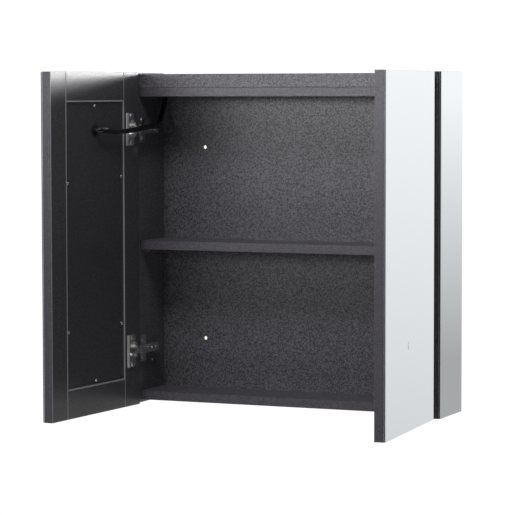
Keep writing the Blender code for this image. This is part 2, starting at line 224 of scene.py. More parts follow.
def drill(obj, start, end, diameter, segments=40):
    """Cuts a round hole through a piece."""
    bm = bmesh.new()
    length = (Vector(end) - Vector(start)).length
    turned(bm, [(diameter / 2, 0), (diameter / 2, length)], start, Vector(end) - Vector(start), segments)
    cutter = object_of(bm, "drill")
    modifier = obj.modifiers.new("Hole", "BOOLEAN")
    modifier.operation = "DIFFERENCE"
    modifier.solver = "EXACT"
    modifier.object = cutter
    apply_modifiers(obj)
    bpy.data.objects.remove(cutter)


def detail_copy(node, name, finish, bevel, segments=2):
    """A merged copy of a CAD node with its edges rounded, which stands for the node."""
    bm = bmesh.new()
    bm.from_mesh(frame["nodes"][node].data)
    bmesh.ops.remove_doubles(bm, verts=bm.verts, dist=1e-6)
    bmesh.ops.dissolve_limit(bm, angle_limit=math.radians(1), verts=bm.verts, edges=bm.edges)
    obj = object_of(bm, name, finish)
    modifier = obj.modifiers.new("Edges", "BEVEL")
    modifier.width = bevel
    modifier.segments = segments
    modifier.limit_method = "ANGLE"
    modifier.angle_limit = math.radians(40)
    apply_modifiers(obj)
    smooth(obj)
    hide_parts(node)
    return obj


def finish_piece(obj, body):
    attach(obj, body)
    return obj


# Materials

def linear(hex_colour):
    """An sRGB hex colour as linear RGBA."""
    channels = [int(hex_colour[i : i + 2], 16) / 255 for i in (1, 3, 5)]
    return (*(c / 12.92 if c <= 0.04045 else ((c + 0.055) / 1.055) ** 2.4 for c in channels), 1.0)


def add_node(tree, kind, inputs=None, **settings):
    """One node with its settings; each named input is linked to a socket or given a value."""
    node = tree.nodes.new(kind)
    for key, value in settings.items():
        setattr(node, key, value)
    for key, value in (inputs or {}).items():
        if isinstance(value, bpy.types.NodeSocket):
            tree.links.new(value, node.inputs[key])
        else:
            node.inputs[key].default_value = value
    return node


def new_material(name, **values):
    """A material of that name, its node tree and its shader, with the named sockets of the shader set."""
    made = bpy.data.materials.new(name)
    made.use_nodes = True
    shader = made.node_tree.nodes["Principled BSDF"]
    for key, value in values.items():
        shader.inputs[key.replace("_", " ")].default_value = value
    return made, made.node_tree, shader


def grained(tree, shader, light, dark, grain, depth, low_rough, high_rough):
    """A pebbled surface: grain in metres across drives the colour, the gloss and a bump of that depth."""
    place = add_node(tree, "ShaderNodeTexCoord").outputs["Object"]
    pebble = add_node(
        tree, "ShaderNodeTexNoise", {"Vector": place, "Scale": 1 / grain, "Detail": 2.5, "Roughness": 0.6}
    )
    share = add_node(
        tree, "ShaderNodeMapRange", {"Value": pebble.outputs["Fac"], "From Min": 0.38, "From Max": 0.62}
    )
    colour = add_node(
        tree,
        "ShaderNodeMix",
        {"Factor": share.outputs[0], "A": light, "B": dark},
        data_type="RGBA",
    )
    ends = {"From Min": 0.3, "From Max": 0.7, "To Min": low_rough, "To Max": high_rough}
    gloss = add_node(tree, "ShaderNodeMapRange", {"Value": pebble.outputs["Fac"], **ends})
    bump = add_node(
        tree, "ShaderNodeBump", {"Height": pebble.outputs["Fac"], "Distance": depth, "Strength": 1.0}
    )
    tree.links.new(colour.outputs["Result"], shader.inputs["Base Color"])
    tree.links.new(gloss.outputs[0], shader.inputs["Roughness"])
    tree.links.new(bump.outputs[0], shader.inputs["Normal"])


def melamine_face():
    """Melamine-faced board, pressed against a pebbled plate: a dull sheen broken by fine grain."""
    made, tree, shader = new_material("Pressed melamine face", Specular_IOR_Level=0.25)
    grained(tree, shader, linear("#7b7a81"), linear("#414045"), 2.1 * MM, 0.15 * MM, 0.28, 0.4)
    return made


def edge_band():
    """ABS edge band, extruded and glued on: finer and a little darker than the faces."""
    made, tree, shader = new_material("Extruded ABS edge band", Specular_IOR_Level=0.6)
    grained(tree, shader, linear("#625f68"), linear("#423f47"), 1.9 * MM, 0.02 * MM, 0.4, 0.5)
    return made


def lipping():
    """Pale ABS lipping round the door's frame members, rolled to a small radius; its pale colour is partly
    its own and partly a painted highlight along the rounded edge.
    """
    return new_material(
        "Rolled ABS lipping", Base_Color=linear("#a4a4a8"), Roughness=0.4, Specular_IOR_Level=0.5
    )[0]


def door_film_shaded():
    """The boards' melamine on the door frames, made darker than the boards' face as painted shade on the
    doors' inner faces, and glossy at low angles.
    """
    made, tree, shader = new_material("Pressed melamine door face, darkened as shade", Specular_IOR_Level=0.5)
    # Painted shade: these colours are darker than the boards' face to stand for the shade on the doors' inner
    # faces.
    grained(tree, shader, linear("#545357"), linear("#3c3b3f"), 2.2 * MM, 0.03 * MM, 0.21, 0.28)
    return made


def panel_film():
    """Film-faced thin fibreboard of the inner panels: almost black and fine."""
    made, tree, shader = new_material("Foiled fibreboard panel", Specular_IOR_Level=0.5)
    grained(tree, shader, linear("#4d4c50"), linear("#323135"), 1.9 * MM, 0.02 * MM, 0.22, 0.28)
    return made


def backing():
    """Safety film and foam tape behind the side glass: matt black."""
    return new_material("Matt black safety film", Base_Color=linear("#1b1b1d"), Roughness=0.7)[0]


def silvered():
    """Float glass silvered on its back: a clear cold reflection."""
    return new_material(
        "Silvered float glass", Base_Color=linear("#f4f8fb"), Metallic=1.0, Roughness=0.03
    )[0]


def ground_glass():
    """The ground and polished edge of the glass, dark seen from its end."""
    return new_material("Ground glass edge", Base_Color=linear("#3e3f41"), Roughness=0.5, IOR=1.3)[0]


def arris():
    """The narrow flat ground off the glass's corner; its near-white colour is a painted glint."""
    return new_material("Glass arris with painted glint", Base_Color=linear("#e8edee"), Roughness=0.12, IOR=1.52)[0]


def nickel():
    """Stamped steel, nickel plated and left bright: a clear grey shine with a faint drawn grain."""
    made, tree, shader = new_material("Bright nickel plate", Base_Color=linear("#dededd"), Metallic=1.0)
    place = add_node(tree, "ShaderNodeTexCoord").outputs["Object"]
    stretched = add_node(tree, "ShaderNodeMapping", {"Vector": place, "Scale": (900, 900, 4000)})
    drawn = add_node(
        tree, "ShaderNodeTexNoise", {"Vector": stretched.outputs[0], "Scale": 1.0, "Detail": 2.0}
    )
    gloss = add_node(
        tree,
        "ShaderNodeMapRange",
        {"Value": drawn.outputs["Fac"], "From Min": 0.3, "From Max": 0.7, "To Min": 0.2, "To Max": 0.36},
    )
    tree.links.new(gloss.outputs[0], shader.inputs["Roughness"])
    return made


def nickel_lip_painted_shine():
    """The flange's rolled lip: half matt near-white, a painted shine that brightens it broadly along its
    length.
    """
    return new_material("Nickel lip with painted shine", Base_Color=linear("#f2f2f0"), Metallic=0.5, Roughness=0.42)[0]


def painted_slot_shade():
    """Painted shade: a dark sheet laid just off the arm's face over each slot stands for the shade inside it.
    """
    return new_material("Painted slot shade sheet", Base_Color=linear("#242424"), Metallic=0.6, Roughness=0.5)[0]


def cable_sleeve():
    """PVC sleeve shrunk over two leads: black and shiny, with small wrinkles that break its highlight."""
    made, tree, shader = new_material("Shrunk PVC sleeve", Base_Color=linear("#19191b"), Roughness=0.1)
    place = add_node(tree, "ShaderNodeTexCoord").outputs["Object"]
    wrinkle = add_node(tree, "ShaderNodeTexNoise", {"Vector": place, "Scale": 1 / (5 * MM), "Detail": 3.0})
    bump = add_node(
        tree, "ShaderNodeBump", {"Height": wrinkle.outputs["Fac"], "Distance": 0.6 * MM, "Strength": 0.6}
    )
    tree.links.new(bump.outputs[0], shader.inputs["Normal"])
    return made


def rubber():
    """Moulded rubber of the grommets: black with a soft sheen."""
    return new_material("Moulded rubber", Base_Color=linear("#1d1d1f"), Roughness=0.38)[0]


def white_plastic():
    """Injection-moulded polycarbonate of the electrical parts."""
    return new_material("Moulded white polycarbonate", Base_Color=linear("#e4e4e0"), Roughness=0.42)[0]


def raw_board():
    """Raw fibreboard inside a drilled hole: brown and dull."""
    return new_material("Drilled fibreboard", Base_Color=linear("#8a6a4c"), Roughness=0.9)[0]


def etched():
    """Acid-etched glass of the touch symbol: a pale matt grey against the mirror."""
    return new_material("Acid-etched glass", Base_Color=linear("#9ca1a5"), Roughness=0.6)[0]


def floor_paint():
    """Matt white studio floor paint."""
    return new_material("Matt studio paint", Base_Color=linear("#f2f2f0"), Roughness=0.85)[0]


MAKERS = {
    "face": melamine_face,
    "band": edge_band,
    "lipping": lipping,
    "film": door_film_shaded,
    "panel": panel_film,
    "backing": backing,
    "mirror": silvered,
    "ground": ground_glass,
    "arris": arris,
    "nickel": nickel,
    "lip": nickel_lip_painted_shine,
    "recess": painted_slot_shade,
    "sleeve": cable_sleeve,
    "rubber": rubber,
    "plastic": white_plastic,
    "raw": raw_board,
    "etched": etched,
    "floor": floor_paint,
}
FINISHES = {}


def finish(kind):
    """The material of this kind, made once."""
    if kind not in FINISHES:
        FINISHES[kind] = MAKERS[kind]()
    return FINISHES[kind]


# What repeats

def copies_tree():
    """Geometry Nodes that set one small part on every place, along its axis and turned by a fixed chance."""
    found = bpy.data.node_groups.get("Parts on places")
    if found:
        return found
    tree = bpy.data.node_groups.new("Parts on places", "GeometryNodeTree")
    for name, kind in (
        ("Places", "NodeSocketGeometry"),
        ("Part", "NodeSocketObject"),
        ("Size", "NodeSocketFloat"),
        ("Seed", "NodeSocketInt"),
        ("Finish", "NodeSocketMaterial"),
    ):
        tree.interface.new_socket(name, in_out="INPUT", socket_type=kind)
    tree.interface.new_socket("Parts", in_out="OUTPUT", socket_type="NodeSocketGeometry")
    given = add_node(tree, "NodeGroupInput").outputs
    part = add_node(tree, "GeometryNodeObjectInfo", {"Object": given["Part"]})
    axis = add_node(tree, "GeometryNodeInputNamedAttribute", {"Name": "axis"}, data_type="FLOAT_VECTOR")
    aimed = add_node(
        tree, "FunctionNodeAlignRotationToVector", {"Vector": axis.outputs["Attribute"]}, axis="Z"
    )
    chance = add_node(
        tree, "FunctionNodeRandomValue", {"Max": 2 * math.pi, "Seed": given["Seed"]}, data_type="FLOAT"
    )
    angle = next(s for s in chance.outputs if s.enabled)
    spin = add_node(tree, "FunctionNodeAxisAngleToRotation", {"Axis": (0, 0, 1), "Angle": angle})
    turned_round = add_node(
        tree,
        "FunctionNodeRotateRotation",
        {"Rotation": aimed.outputs[0], "Rotate By": spin.outputs[0]},
        rotation_space="LOCAL",
    )
    placed = add_node(
        tree,
        "GeometryNodeInstanceOnPoints",
        {
            "Points": given["Places"],
            "Instance": part.outputs["Geometry"],
            "Rotation": turned_round.outputs[0],
            "Scale": given["Size"],
        },
    )
    real = add_node(tree, "GeometryNodeRealizeInstances", {"Geometry": placed.outputs[0]})
    painted = add_node(
        tree, "GeometryNodeSetMaterial", {"Geometry": real.outputs[0], "Material": given["Finish"]}
    )
    add_node(tree, "NodeGroupOutput", {"Parts": painted.outputs[0]})
    return tree


def copies(name, part, places, size, material, seed=1):
    """One plain mesh of a part repeated at (point, axis) places."""
    mesh = bpy.data.meshes.new(name)
    mesh.from_pydata([tuple(point) for point, _ in places], [], [])
    axes = mesh.attributes.new("axis", "FLOAT_VECTOR", "POINT")
    axes.data.foreach_set("vector", [c for _, axis in places for c in axis])
    obj = bpy.data.objects.new(name, mesh)
    bpy.context.scene.collection.objects.link(obj)
    modifier = obj.modifiers.new("Parts", "NODES")
    tree = copies_tree()
    modifier.node_group = tree
    inputs = {item.name: item.identifier for item in tree.interface.items_tree if item.in_out == "INPUT"}
    modifier[inputs["Part"]] = part
    modifier[inputs["Size"]] = size
    modifier[inputs["Seed"]] = seed
    modifier[inputs["Finish"]] = material
    graph = bpy.context.evaluated_depsgraph_get()
    result = bpy.data.meshes.new_from_object(obj.evaluated_get(graph))
    obj.modifiers.clear()
    obj.data = result
    return smooth(obj)


def screw_head():
    """A screw head of 1 m across and its cross recess, standing on the origin, as a pattern to copy."""
    bm = bmesh.new()
    profile = [(0.5, 0.0), (0.5, 0.06), (0.46, 0.14), (0.36, 0.22), (0.2, 0.27), (0.06, 0.285)]
    turned(bm, profile, (0, 0, 0), (0, 0, 1), 28)
    head = object_of(bm, "screw_head_pattern")
    bm = bmesh.new()
    for turn in (0, math.pi / 2):
        bevelled_box(bm, (-0.3, -0.055, 0.1), (0.3, 0.055, 0.5), matrix=Matrix.Rotation(turn, 4, "Z"))
    cross = object_of(bm, "cross")
    modifier = head.modifiers.new("Cross", "BOOLEAN")
    modifier.operation = "DIFFERENCE"
    modifier.solver = "EXACT"
    modifier.use_self = True
    modifier.object = cross
    apply_modifiers(head)
    bpy.data.objects.remove(cross)
    return head


def round_liner(outer, inner, length):
    """A short tube that lines a drilled hole, standing on the origin."""
    bm = bmesh.new()
    segments = 32
    rings = []
    for radius, along in ((outer, 0), (outer, length), (inner, length), (inner, 0)):
        lift = Vector((0, 0, along))
        rings.append([bm.verts.new(radius * step + lift) for step in round_steps(segments)])
    for ring, after in zip(rings, rings[1:] + rings[:1]):
        for i in range(segments):
            j = (i + 1) % segments
            bm.faces.new((ring[i], ring[j], after[j], after[i]))
    return object_of(bm, "liner_pattern")


# Settings

class CabinetSizes(bpy.types.PropertyGroup):
    """Small sizes of the finished pieces."""

    band: FloatProperty(
        name="Edge Band", description="Thickness of the boards' edge band", default=0.8 * MM, unit="LENGTH"
    )
    rounding: FloatProperty(
        name="Rounding", description="Radius of the boards' edges", default=0.5 * MM, unit="LENGTH"
    )
    lipping: FloatProperty(
        name="Lipping", description="Width of the pale lipping on the doors", default=2.4 * MM, unit="LENGTH"
    )
    thin_lipping: FloatProperty(
        name="Thin Lipping",
        description="Width of the lipping next to the hinges",
        default=1.1 * MM,
        unit="LENGTH",
    )
    arris: FloatProperty(
        name="Arris", description="Flat ground off the corners of the glass", default=0.7 * MM, unit="LENGTH"
    )
    cup_screw: FloatProperty(
        name="Cup Screw", description="Head diameter of the cup screws", default=7.5 * MM, unit="LENGTH"
    )
    plate_screw: FloatProperty(
        name="Plate Screw", description="Head diameter of the plate screws", default=7.0 * MM, unit="LENGTH"
    )
    panel_screw: FloatProperty(
        name="Panel Screw", description="Head diameter of the panel screws", default=5.5 * MM, unit="LENGTH"
    )
    seed: IntProperty(name="Seed", description="Chance turn of the screws' recesses", default=4, min=0)


class StudioLight(bpy.types.PropertyGroup):
    """Camera and lights."""

    lens: FloatProperty(name="Lens", description="Focal length", default=171.27, unit="CAMERA")
    key: FloatProperty(name="Key", description="Power of the front light", default=0.66, unit="POWER")
    fill: FloatProperty(name="Fill", description="Power of the light in front", default=8.0, unit="POWER")
    side: FloatProperty(name="Side", description="Power of the light on the left", default=5.0, unit="POWER")
    top: FloatProperty(name="Top", description="Power of the light above", default=18.0, unit="POWER")
    window: FloatProperty(
        name="Window", description="Brightness of the low window behind the right", default=27.0, min=0
    )
    room: FloatProperty(name="Room", description="Brightness of the dim room in front", default=0.03, min=0)
    backdrop: FloatProperty(name="Backdrop", description="Brightness of the backdrop", default=0.955, min=0)
    tint: FloatVectorProperty(
        name="Tint", description="Colour of the backdrop", default=(1.0, 1.0, 1.0), size=3, subtype="COLOR"
    )


def sizes():
    return bpy.context.scene.cabinet_sizes


# Carcass

def plain_board(node, finish_kind, body, low=None, high=None, name=None):
    box_low, box_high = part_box(node)
    bm = bmesh.new()
    bevelled_box(bm, low or box_low, high or box_high, sizes().rounding, 2)
    obj = object_of(bm, name or f"{node}_piece", finish(finish_kind))
    return finish_piece(smooth(obj), body)


def banded_board(node, body="cabinet"):
    """A board with its face and an edge band along its front."""
    low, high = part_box(node)
    front = low.y + sizes().band
    core = plain_board(node, "face", body, low=Vector((low.x, front, low.z)))
    plain_board(node, "band", body, high=Vector((high.x, front, high.z)), name=f"{node}_edge_band")
    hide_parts(node)
    return core


class CABINET_OT_boards(bpy.types.Operator):
    """Bottom, shelf and top board with their edge bands, and the fascia."""

    bl_idname = "cabinet.boards"
    bl_label = "Boards"

    def execute(self, context):
        banded_board("bottom_board")
        banded_board("shelf", "shelf")
        top = banded_board("top_board")
        low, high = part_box("top_board")
        for s in SIDES.values():
            x = s * CABLE_HOLE_X
            y = CABLE_HOLE_Y
            drill(top, (x, y, low.z - 5 * MM), (x, y, high.z + 5 * MM), CABLE_HOLE_D)
        smooth(top)
        fascia = plain_board("top_fascia", "face", "cabinet")
        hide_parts("top_fascia")
        return {"FINISHED"}


class CABINET_OT_back(bpy.types.Operator):
    """Back panel with four drilled wall-fixing holes and their raw rims."""

    bl_idname = "cabinet.back"
    bl_label = "Back Panel"

    def execute(self, context):
        panel = plain_board("back_panel", "face", "cabinet")
        low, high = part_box("back_panel")
        places = []
        for s in SIDES.values():
            for z in FIXING_HOLE_ZS:
                x = s * FIXING_HOLE_X
                drill(panel, (x, low.y - 5 * MM, z), (x, high.y + 5 * MM, z), FIXING_HOLE_D)
                places.append((Vector((x, low.y, z)), (0, 1, 0)))
        smooth(panel)
        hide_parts("back_panel")
        liner = round_liner(FIXING_HOLE_D / 2, FIXING_HOLE_D / 2 - 0.35 * MM, (high.y - low.y) * 0.98)
        rims = copies("fixing_hole_rims", liner, places, 1.0, finish("raw"))
        bpy.data.objects.remove(liner)
        finish_piece(rims, "cabinet")
        return {"FINISHED"}


def glass_plate(bm, low, high, outer, arris_width):
    """A plate of glass: silvered across the outer axis, its edges ground and its corners polished flat and
    painted with a glint.
    """
    bevelled_box(bm, low, high, arris_width, 1)
    for face in bm.faces:
        face.normal_update()
        along = abs(face.normal.dot(Vector(outer)))
        straight = max(abs(c) for c in face.normal)
        if along > 0.99:
            face.material_index = 0
        elif straight > 0.99:
            face.material_index = 1
        # The corner faces take the arris finish, whose near-white colour is a painted glint.
        else:
            face.material_index = 2


class CABINET_OT_sides(bpy.types.Operator):
    """Side walls: board, front edge band, black backing, cover cap and outer mirror.

    Neither glass nor backing is seen by glossy rays, so that an open door's mirror shows the backdrop.
    """

    bl_idname = "cabinet.sides"
    bl_label = "Side Walls"

    def execute(self, context):
        for side, s in SIDES.items():
            banded_board(f"side_board_{side}")
            node = frame["nodes"][f"side_backing_{side}"]
            node.data.materials.clear()
            node.data.materials.append(finish("backing"))
            low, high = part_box(f"side_mirror_{side}")
            bm = bmesh.new()
            glass_plate(bm, low, high, (1, 0, 0), sizes().arris)
            glass = object_of(bm, f"side_glass_{side}", finish("mirror"), finish("ground"), finish("arris"))
            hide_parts(f"side_mirror_{side}")
            glass.visible_glossy = False
            node.visible_glossy = False
            finish_piece(glass, "cabinet")
            low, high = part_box(f"side_board_{side}")
            face = low.x if s > 0 else high.x
            bm = bmesh.new()
            cap = [(2.6 * MM, 0), (2.6 * MM, 0.3 * MM), (2.1 * MM, 0.8 * MM), (0.8 * MM, 1.0 * MM)]
            turned(bm, cap, (face, COVER_CAP_Y, COVER_CAP_Z), (-s, 0, 0), 24)
            dot = smooth(object_of(bm, f"side_cap_{side}", finish("plastic")))
            finish_piece(dot, "cabinet")
        return {"FINISHED"}


# Doors

def door_box_piece(side, name, low, high, kind, bevel, segments=2):
    bm = bmesh.new()
    bevelled_box(bm, low, high, bevel, segments, door_matrix(side))
    obj = smooth(object_of(bm, name, finish(kind)))
    return finish_piece(obj, f"{side}_door")


def member(side, part, inner_edges, width):
    """A frame member with its face film and a lipping on each named edge: (axis, which end). The lipping's
    pale colour is partly a painted highlight.
    """
    node = f"{side}_door_{part}"
    low, high = door_span(side, node)
    for axis, end in inner_edges:
        strip_low, strip_high = low.copy(), high.copy()
        strip_low.y -= 0.15 * MM
        strip_high.y = low.y + 3.0 * MM
        if end == "low":
            strip_high[axis] = low[axis] + width
            low[axis] += width
        else:
            strip_low[axis] = high[axis] - width
            high[axis] -= width
        name = f"{node}_lipping_{'uwz'[axis]}_{end}"
        # Painted highlight: the pale lipping stands partly for the shine along the member's rounded inner
        # edge.
        door_box_piece(side, name, strip_low, strip_high, "lipping", 0.5 * MM, 3)
        back_low, back_high = strip_low.copy(), strip_high.copy()
        back_low.y = strip_high.y
        back_high.y = high.y
        door_box_piece(side, f"{name}_core", back_low, back_high, "film", 0)
    return low, high


class CABINET_OT_door_frames(bpy.types.Operator):
    """Door frame members with pale lippings that partly carry a painted highlight, cup bores and a banded
    free edge.
    """

    bl_idname = "cabinet.door_frames"
    bl_label = "Door Frames"

    def execute(self, context):
        bevel = sizes().rounding
        for side in SIDES:
            low, high = member(side, "hinge_stile", [(0, "high")], sizes().thin_lipping)
            stile = door_box_piece(side, f"{side}_hinge_stile", low, high, "film", bevel)
            self.bore(side, stile)
            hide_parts(f"{side}_door_hinge_stile")
            low, high = member(side, "free_stile", [(0, "low")], sizes().lipping)
            band_low = low.copy()
            band_low.x = high.x - sizes().band
            high.x = band_low.x
            stile = door_box_piece(side, f"{side}_free_stile", low, high, "film", bevel)
            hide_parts(f"{side}_door_free_stile")
            self.free_edge(side, band_low)
            for part, end in (("top_rail", "low"), ("bottom_rail", "high")):
                low, high = member(side, part, [(2, end)], sizes().lipping)
                rail = door_box_piece(side, f"{side}_{part}", low, high, "film", bevel)
                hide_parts(f"{side}_door_{part}")
        return {"FINISHED"}

    def bore(self, side, stile):
        body = stile.parent
        stile.parent = None
        out = door_matrix(side).to_3x3() @ Vector((0, 1, 0))
        for place in PLACES:
            low, high = door_span(side, f"{side}_{place}_hinge_cup")
            start = door_matrix(side) @ Vector((CUP_U, -5 * MM, (low.z + high.z) / 2))
            drill(stile, start, start + out * (5 * MM + CUP_BORE_DEPTH), CUP_BORE_D, 64)
        smooth(stile)
        stile.parent = body

    def free_edge(self, side, low):
        """The band on the free edge, with a pale corner line on the inner face that is a painted highlight
        where the rounded corner catches the light.
        """
        _, high = door_span(side, f"{side}_door_free_stile")
        door_box_piece(side, f"{side}_free_edge_band", low, high, "band", 0.3 * MM)
        # Painted highlight: a pale strip along the inner corner of the free edge.
        line_low = Vector((high.x - 2.2 * MM, low.y - 0.12 * MM, low.z))
        line_high = Vector((high.x - 0.1 * MM, low.y + 0.6 * MM, high.z))
        name = f"{side}_free_edge_corner"
        door_box_piece(side, name, line_low, line_high, "lipping", 0.3 * MM)


class CABINET_OT_door_panels(bpy.types.Operator):
    """Inner panels with the cable hole."""

    bl_idname = "cabinet.door_panels"
    bl_label = "Door Panels"

    def execute(self, context):
        for side in SIDES:
            panel = detail_copy(
                f"{side}_door_inner_panel", f"{side}_panel", finish("panel"), 0.25 * MM
            )
            finish_piece(panel, f"{side}_door")
        return {"FINISHED"}


class CABINET_OT_door_mirrors(bpy.types.Operator):
    """Door mirrors, and the etched touch symbol on the right one."""

    bl_idname = "cabinet.door_mirrors"
    bl_label = "Door Mirrors"

    def execute(self, context):
        for side in SIDES:
            low, high = door_span(side, f"{side}_door_mirror")
            bm = bmesh.new()
            glass_plate(bm, low, high, (0, 1, 0), sizes().arris)
            bmesh.ops.transform(bm, matrix=door_matrix(side), verts=bm.verts)
            name = f"{side}_door_glass"
            glass = object_of(bm, name, finish("mirror"), finish("ground"), finish("arris"))
            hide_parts(f"{side}_door_mirror")
            finish_piece(glass, f"{side}_door")
        self.touch_symbol()
        return {"FINISHED"}

    def touch_symbol(self):
        """A generic fingertip under an arc, etched on the glass."""
        low, high = door_span("right", "touch_module")
        _, face = door_span("right", "right_door_mirror")
        centre = Vector(((low.x + high.x) / 2, face.y, (low.z + high.z) / 2))
        bm = bmesh.new()
        thin = 0.05 * MM
        finger = [(-1.5, -6.5), (1.5, -6.5), (1.9, -1.5), (1.2, 1.4), (0, 2.0), (-1.2, 1.4), (-1.9, -1.5)]
        self.plate(bm, [(x * MM, z * MM) for x, z in finger], centre, thin)
        steps = [math.radians(10 + 160 * i / 12) for i in range(13)]
        outer = [(3.6 * MM * math.cos(a), (1.4 + 4.6 * math.sin(a)) * MM) for a in steps]
        inner = [(2.7 * MM * math.cos(a), (1.4 + 3.6 * math.sin(a)) * MM) for a in steps]
        for i in range(len(steps) - 1):
            self.plate(bm, [outer[i], outer[i + 1], inner[i + 1], inner[i]], centre, thin)
        bmesh.ops.remove_doubles(bm, verts=bm.verts, dist=1e-6)
        bmesh.ops.transform(bm, matrix=door_matrix("right"), verts=bm.verts)
        symbol = object_of(bm, "touch_symbol", finish("etched"))
        finish_piece(symbol, "right_door")

    def plate(self, bm, outline, centre, thin):
        back = [bm.verts.new(centre + Vector((x, 0, z))) for x, z in outline]
        front = [bm.verts.new(centre + Vector((x, thin, z))) for x, z in outline]
        bm.faces.new(back)
        bm.faces.new(front[::-1])
        for i in range(len(outline)):
            j = (i + 1) % len(outline)
            bm.faces.new((back[i], back[j], front[j], front[i]))


# Hinges

def cup_screw_places(side, place):
    matrix = door_matrix(side)
    inward = matrix.to_3x3() @ Vector((0, -1, 0))
    z = hinge_height(side, place)
    found = []
    for dz in (-CUP_SCREW_SPACING / 2, CUP_SCREW_SPACING / 2):
        found.append((matrix @ Vector((CUP_SCREW_U, -FLANGE_PROUD, z + dz)), inward))
    return found


def plate_screw_places(side, place):
    s = SIDES[side]
    z = hinge_height(side, place)
    x = s * PLATE_FACE_X
    half = PLATE_SCREW_SPACING / 2
    return [(Vector((x, PLATE_SCREW_Y, z + dz)), (-s, 0, 0)) for dz in (-half, half)]


def arm_screw_places(side, place):
    s = SIDES[side]
    z = hinge_height(side, place)
    return [(Vector((s * ARM_FACE_X, y, z)), (-s, 0, 0)) for y in ARM_SCREW_YS]


def panel_screw_places(side):
    matrix = door_matrix(side)
    inward = matrix.to_3x3() @ Vector((0, -1, 0))
    low, high = door_span(side, f"{side}_door_inner_panel")
    middle = (low.x + high.x) / 2
    inset = PANEL_SCREW_INSET
    spots = (
        (middle, high.z - inset),
        (middle, low.z + inset),
        (high.x - inset, 108 * MM),
        (high.x - inset, -149 * MM),
        (low.x + inset, 115 * MM),
        (low.x + inset, -148 * MM),
    )
    return [(matrix @ Vector((u, low.y, z)), inward) for u, z in spots]


class CABINET_OT_hinges(bpy.types.Operator):
    """Concealed hinges: cup and flange, link, arm and mounting plate, in bright nickel."""

    bl_idname = "cabinet.hinges"
    bl_label = "Hinges"

    def execute(self, context):
        for side in SIDES:
            for place in PLACES:
                self.hinge(side, place)
        return {"FINISHED"}

    def hinge(self, side, place):
        name = f"{side}_{place}"
        bodies = {"cup": f"{side}_door", "plate": "cabinet", "arm": "cabinet", "link": f"{side}_links"}
        for part, body in bodies.items():
            node = f"{name}_hinge_{part}"
            piece = detail_copy(node, f"{name}_{part}", finish("nickel"), 0.25 * MM)
            finish_piece(piece, body)
        z = hinge_height(side, place)
        low = Vector(FLANGE_ROLL_LOW) + Vector((0, 0, z))
        high = Vector(FLANGE_ROLL_HIGH) + Vector((0, 0, z))
        # Painted highlight: the lip's half-matt near-white finish stands for its shine.
        door_box_piece(side, f"{name}_flange_roll", low, high, "lip", 0.85 * MM, 4)
        s = SIDES[side]
        # Painted shade: thin dark sheets just off the arm's face stand for the shade inside its slots.
        face = s * ARM_FACE_X
        out = face - s * 0.12 * MM
        half = ARM_SLOT_HALF_HEIGHT
        bm = bmesh.new()
        for rear, front in ARM_SLOTS:
            bevelled_box(bm, (out, rear, z - half), (face, front, z + half))
        slot_shade = object_of(bm, f"{name}_arm_slots", finish("recess"))
        finish_piece(slot_shade, "cabinet")


class CABINET_OT_screws(bpy.types.Operator):
    """All the screws, one mesh for each body."""

    bl_idname = "cabinet.screws"
    bl_label = "Screws"

    def execute(self, context):
        head = screw_head()
        chosen = sizes()
        for side in SIDES:
            cups = [p for place in PLACES for p in cup_screw_places(side, place)]
            plates = [p for place in PLACES for p in plate_screw_places(side, place)]
            arms = [p for place in PLACES for p in arm_screw_places(side, place)]
            sets = (
                ("cup_screws", f"{side}_door", cups, chosen.cup_screw),
                ("panel_screws", f"{side}_door", panel_screw_places(side), chosen.panel_screw),
                ("plate_screws", "cabinet", plates, chosen.plate_screw),
                ("arm_screws", "cabinet", arms, chosen.plate_screw * 0.9),
            )
            for name, body, places, size in sets:
                made = copies(f"{side}_{name}", head, places, size, finish("nickel"), chosen.seed)
                finish_piece(made, body)
        bpy.data.objects.remove(head)
        return {"FINISHED"}


# Cables

def smooth_path(points, step):
    """Points at even steps along a Catmull-Rom line through these."""
    padded = [2 * points[0] - points[1], *points, 2 * points[-1] - points[-2]]
    found = []
    for a, b, c, d in zip(padded, padded[1:], padded[2:], padded[3:]):
        count = max(1, round((c - b).length / step))
        for i in range(count):
            t = i / count
            first = 2 * b + (c - a) * t
            second = (2 * a - 5 * b + 4 * c - d) * t * t
            third = (3 * b - a - 3 * c + d) * t * t * t
            found.append(0.5 * (first + second + third))
    return [*found, points[-1]]


def cable_route(side):
    """From inside the door, out of its grommet, over the upper hinge and up through the top board."""
    s = SIDES[side]
    matrix = door_matrix(side)

    def on_door(u, w, dz):
        return matrix @ Vector((u, w, CABLE_Z + dz))

    x = s * CABLE_HOLE_X
    y = CABLE_HOLE_Y
    return [
        on_door(CABLE_U, 2.5 * MM, 0),
        on_door(CABLE_U, -2.5 * MM, 0),
        on_door(CABLE_U - 4.5 * MM, -9.0 * MM, 0),
        on_door(CABLE_U - 16 * MM, -12.5 * MM, 0),
        on_door(110 * MM, -13.0 * MM, -2.8 * MM),
        on_door(75 * MM, -13.5 * MM, -2.8 * MM),
        on_door(40 * MM, -15 * MM, -0.8 * MM),
        on_door(12 * MM, -16 * MM, 2.2 * MM),
        Vector((s * 257.5 * MM, -101 * MM, 203 * MM)),
        Vector((s * 259 * MM, -75 * MM, 203.5 * MM)),
        Vector((s * 263 * MM, -55 * MM, 211 * MM)),
        Vector((s * 266.5 * MM, -41 * MM, 223 * MM)),
        Vector((x, y - 6 * MM, 237 * MM)),
        Vector((x, y, 250 * MM)),
        Vector((x, y, 265 * MM)),
        Vector((x, y, 280 * MM)),
    ]


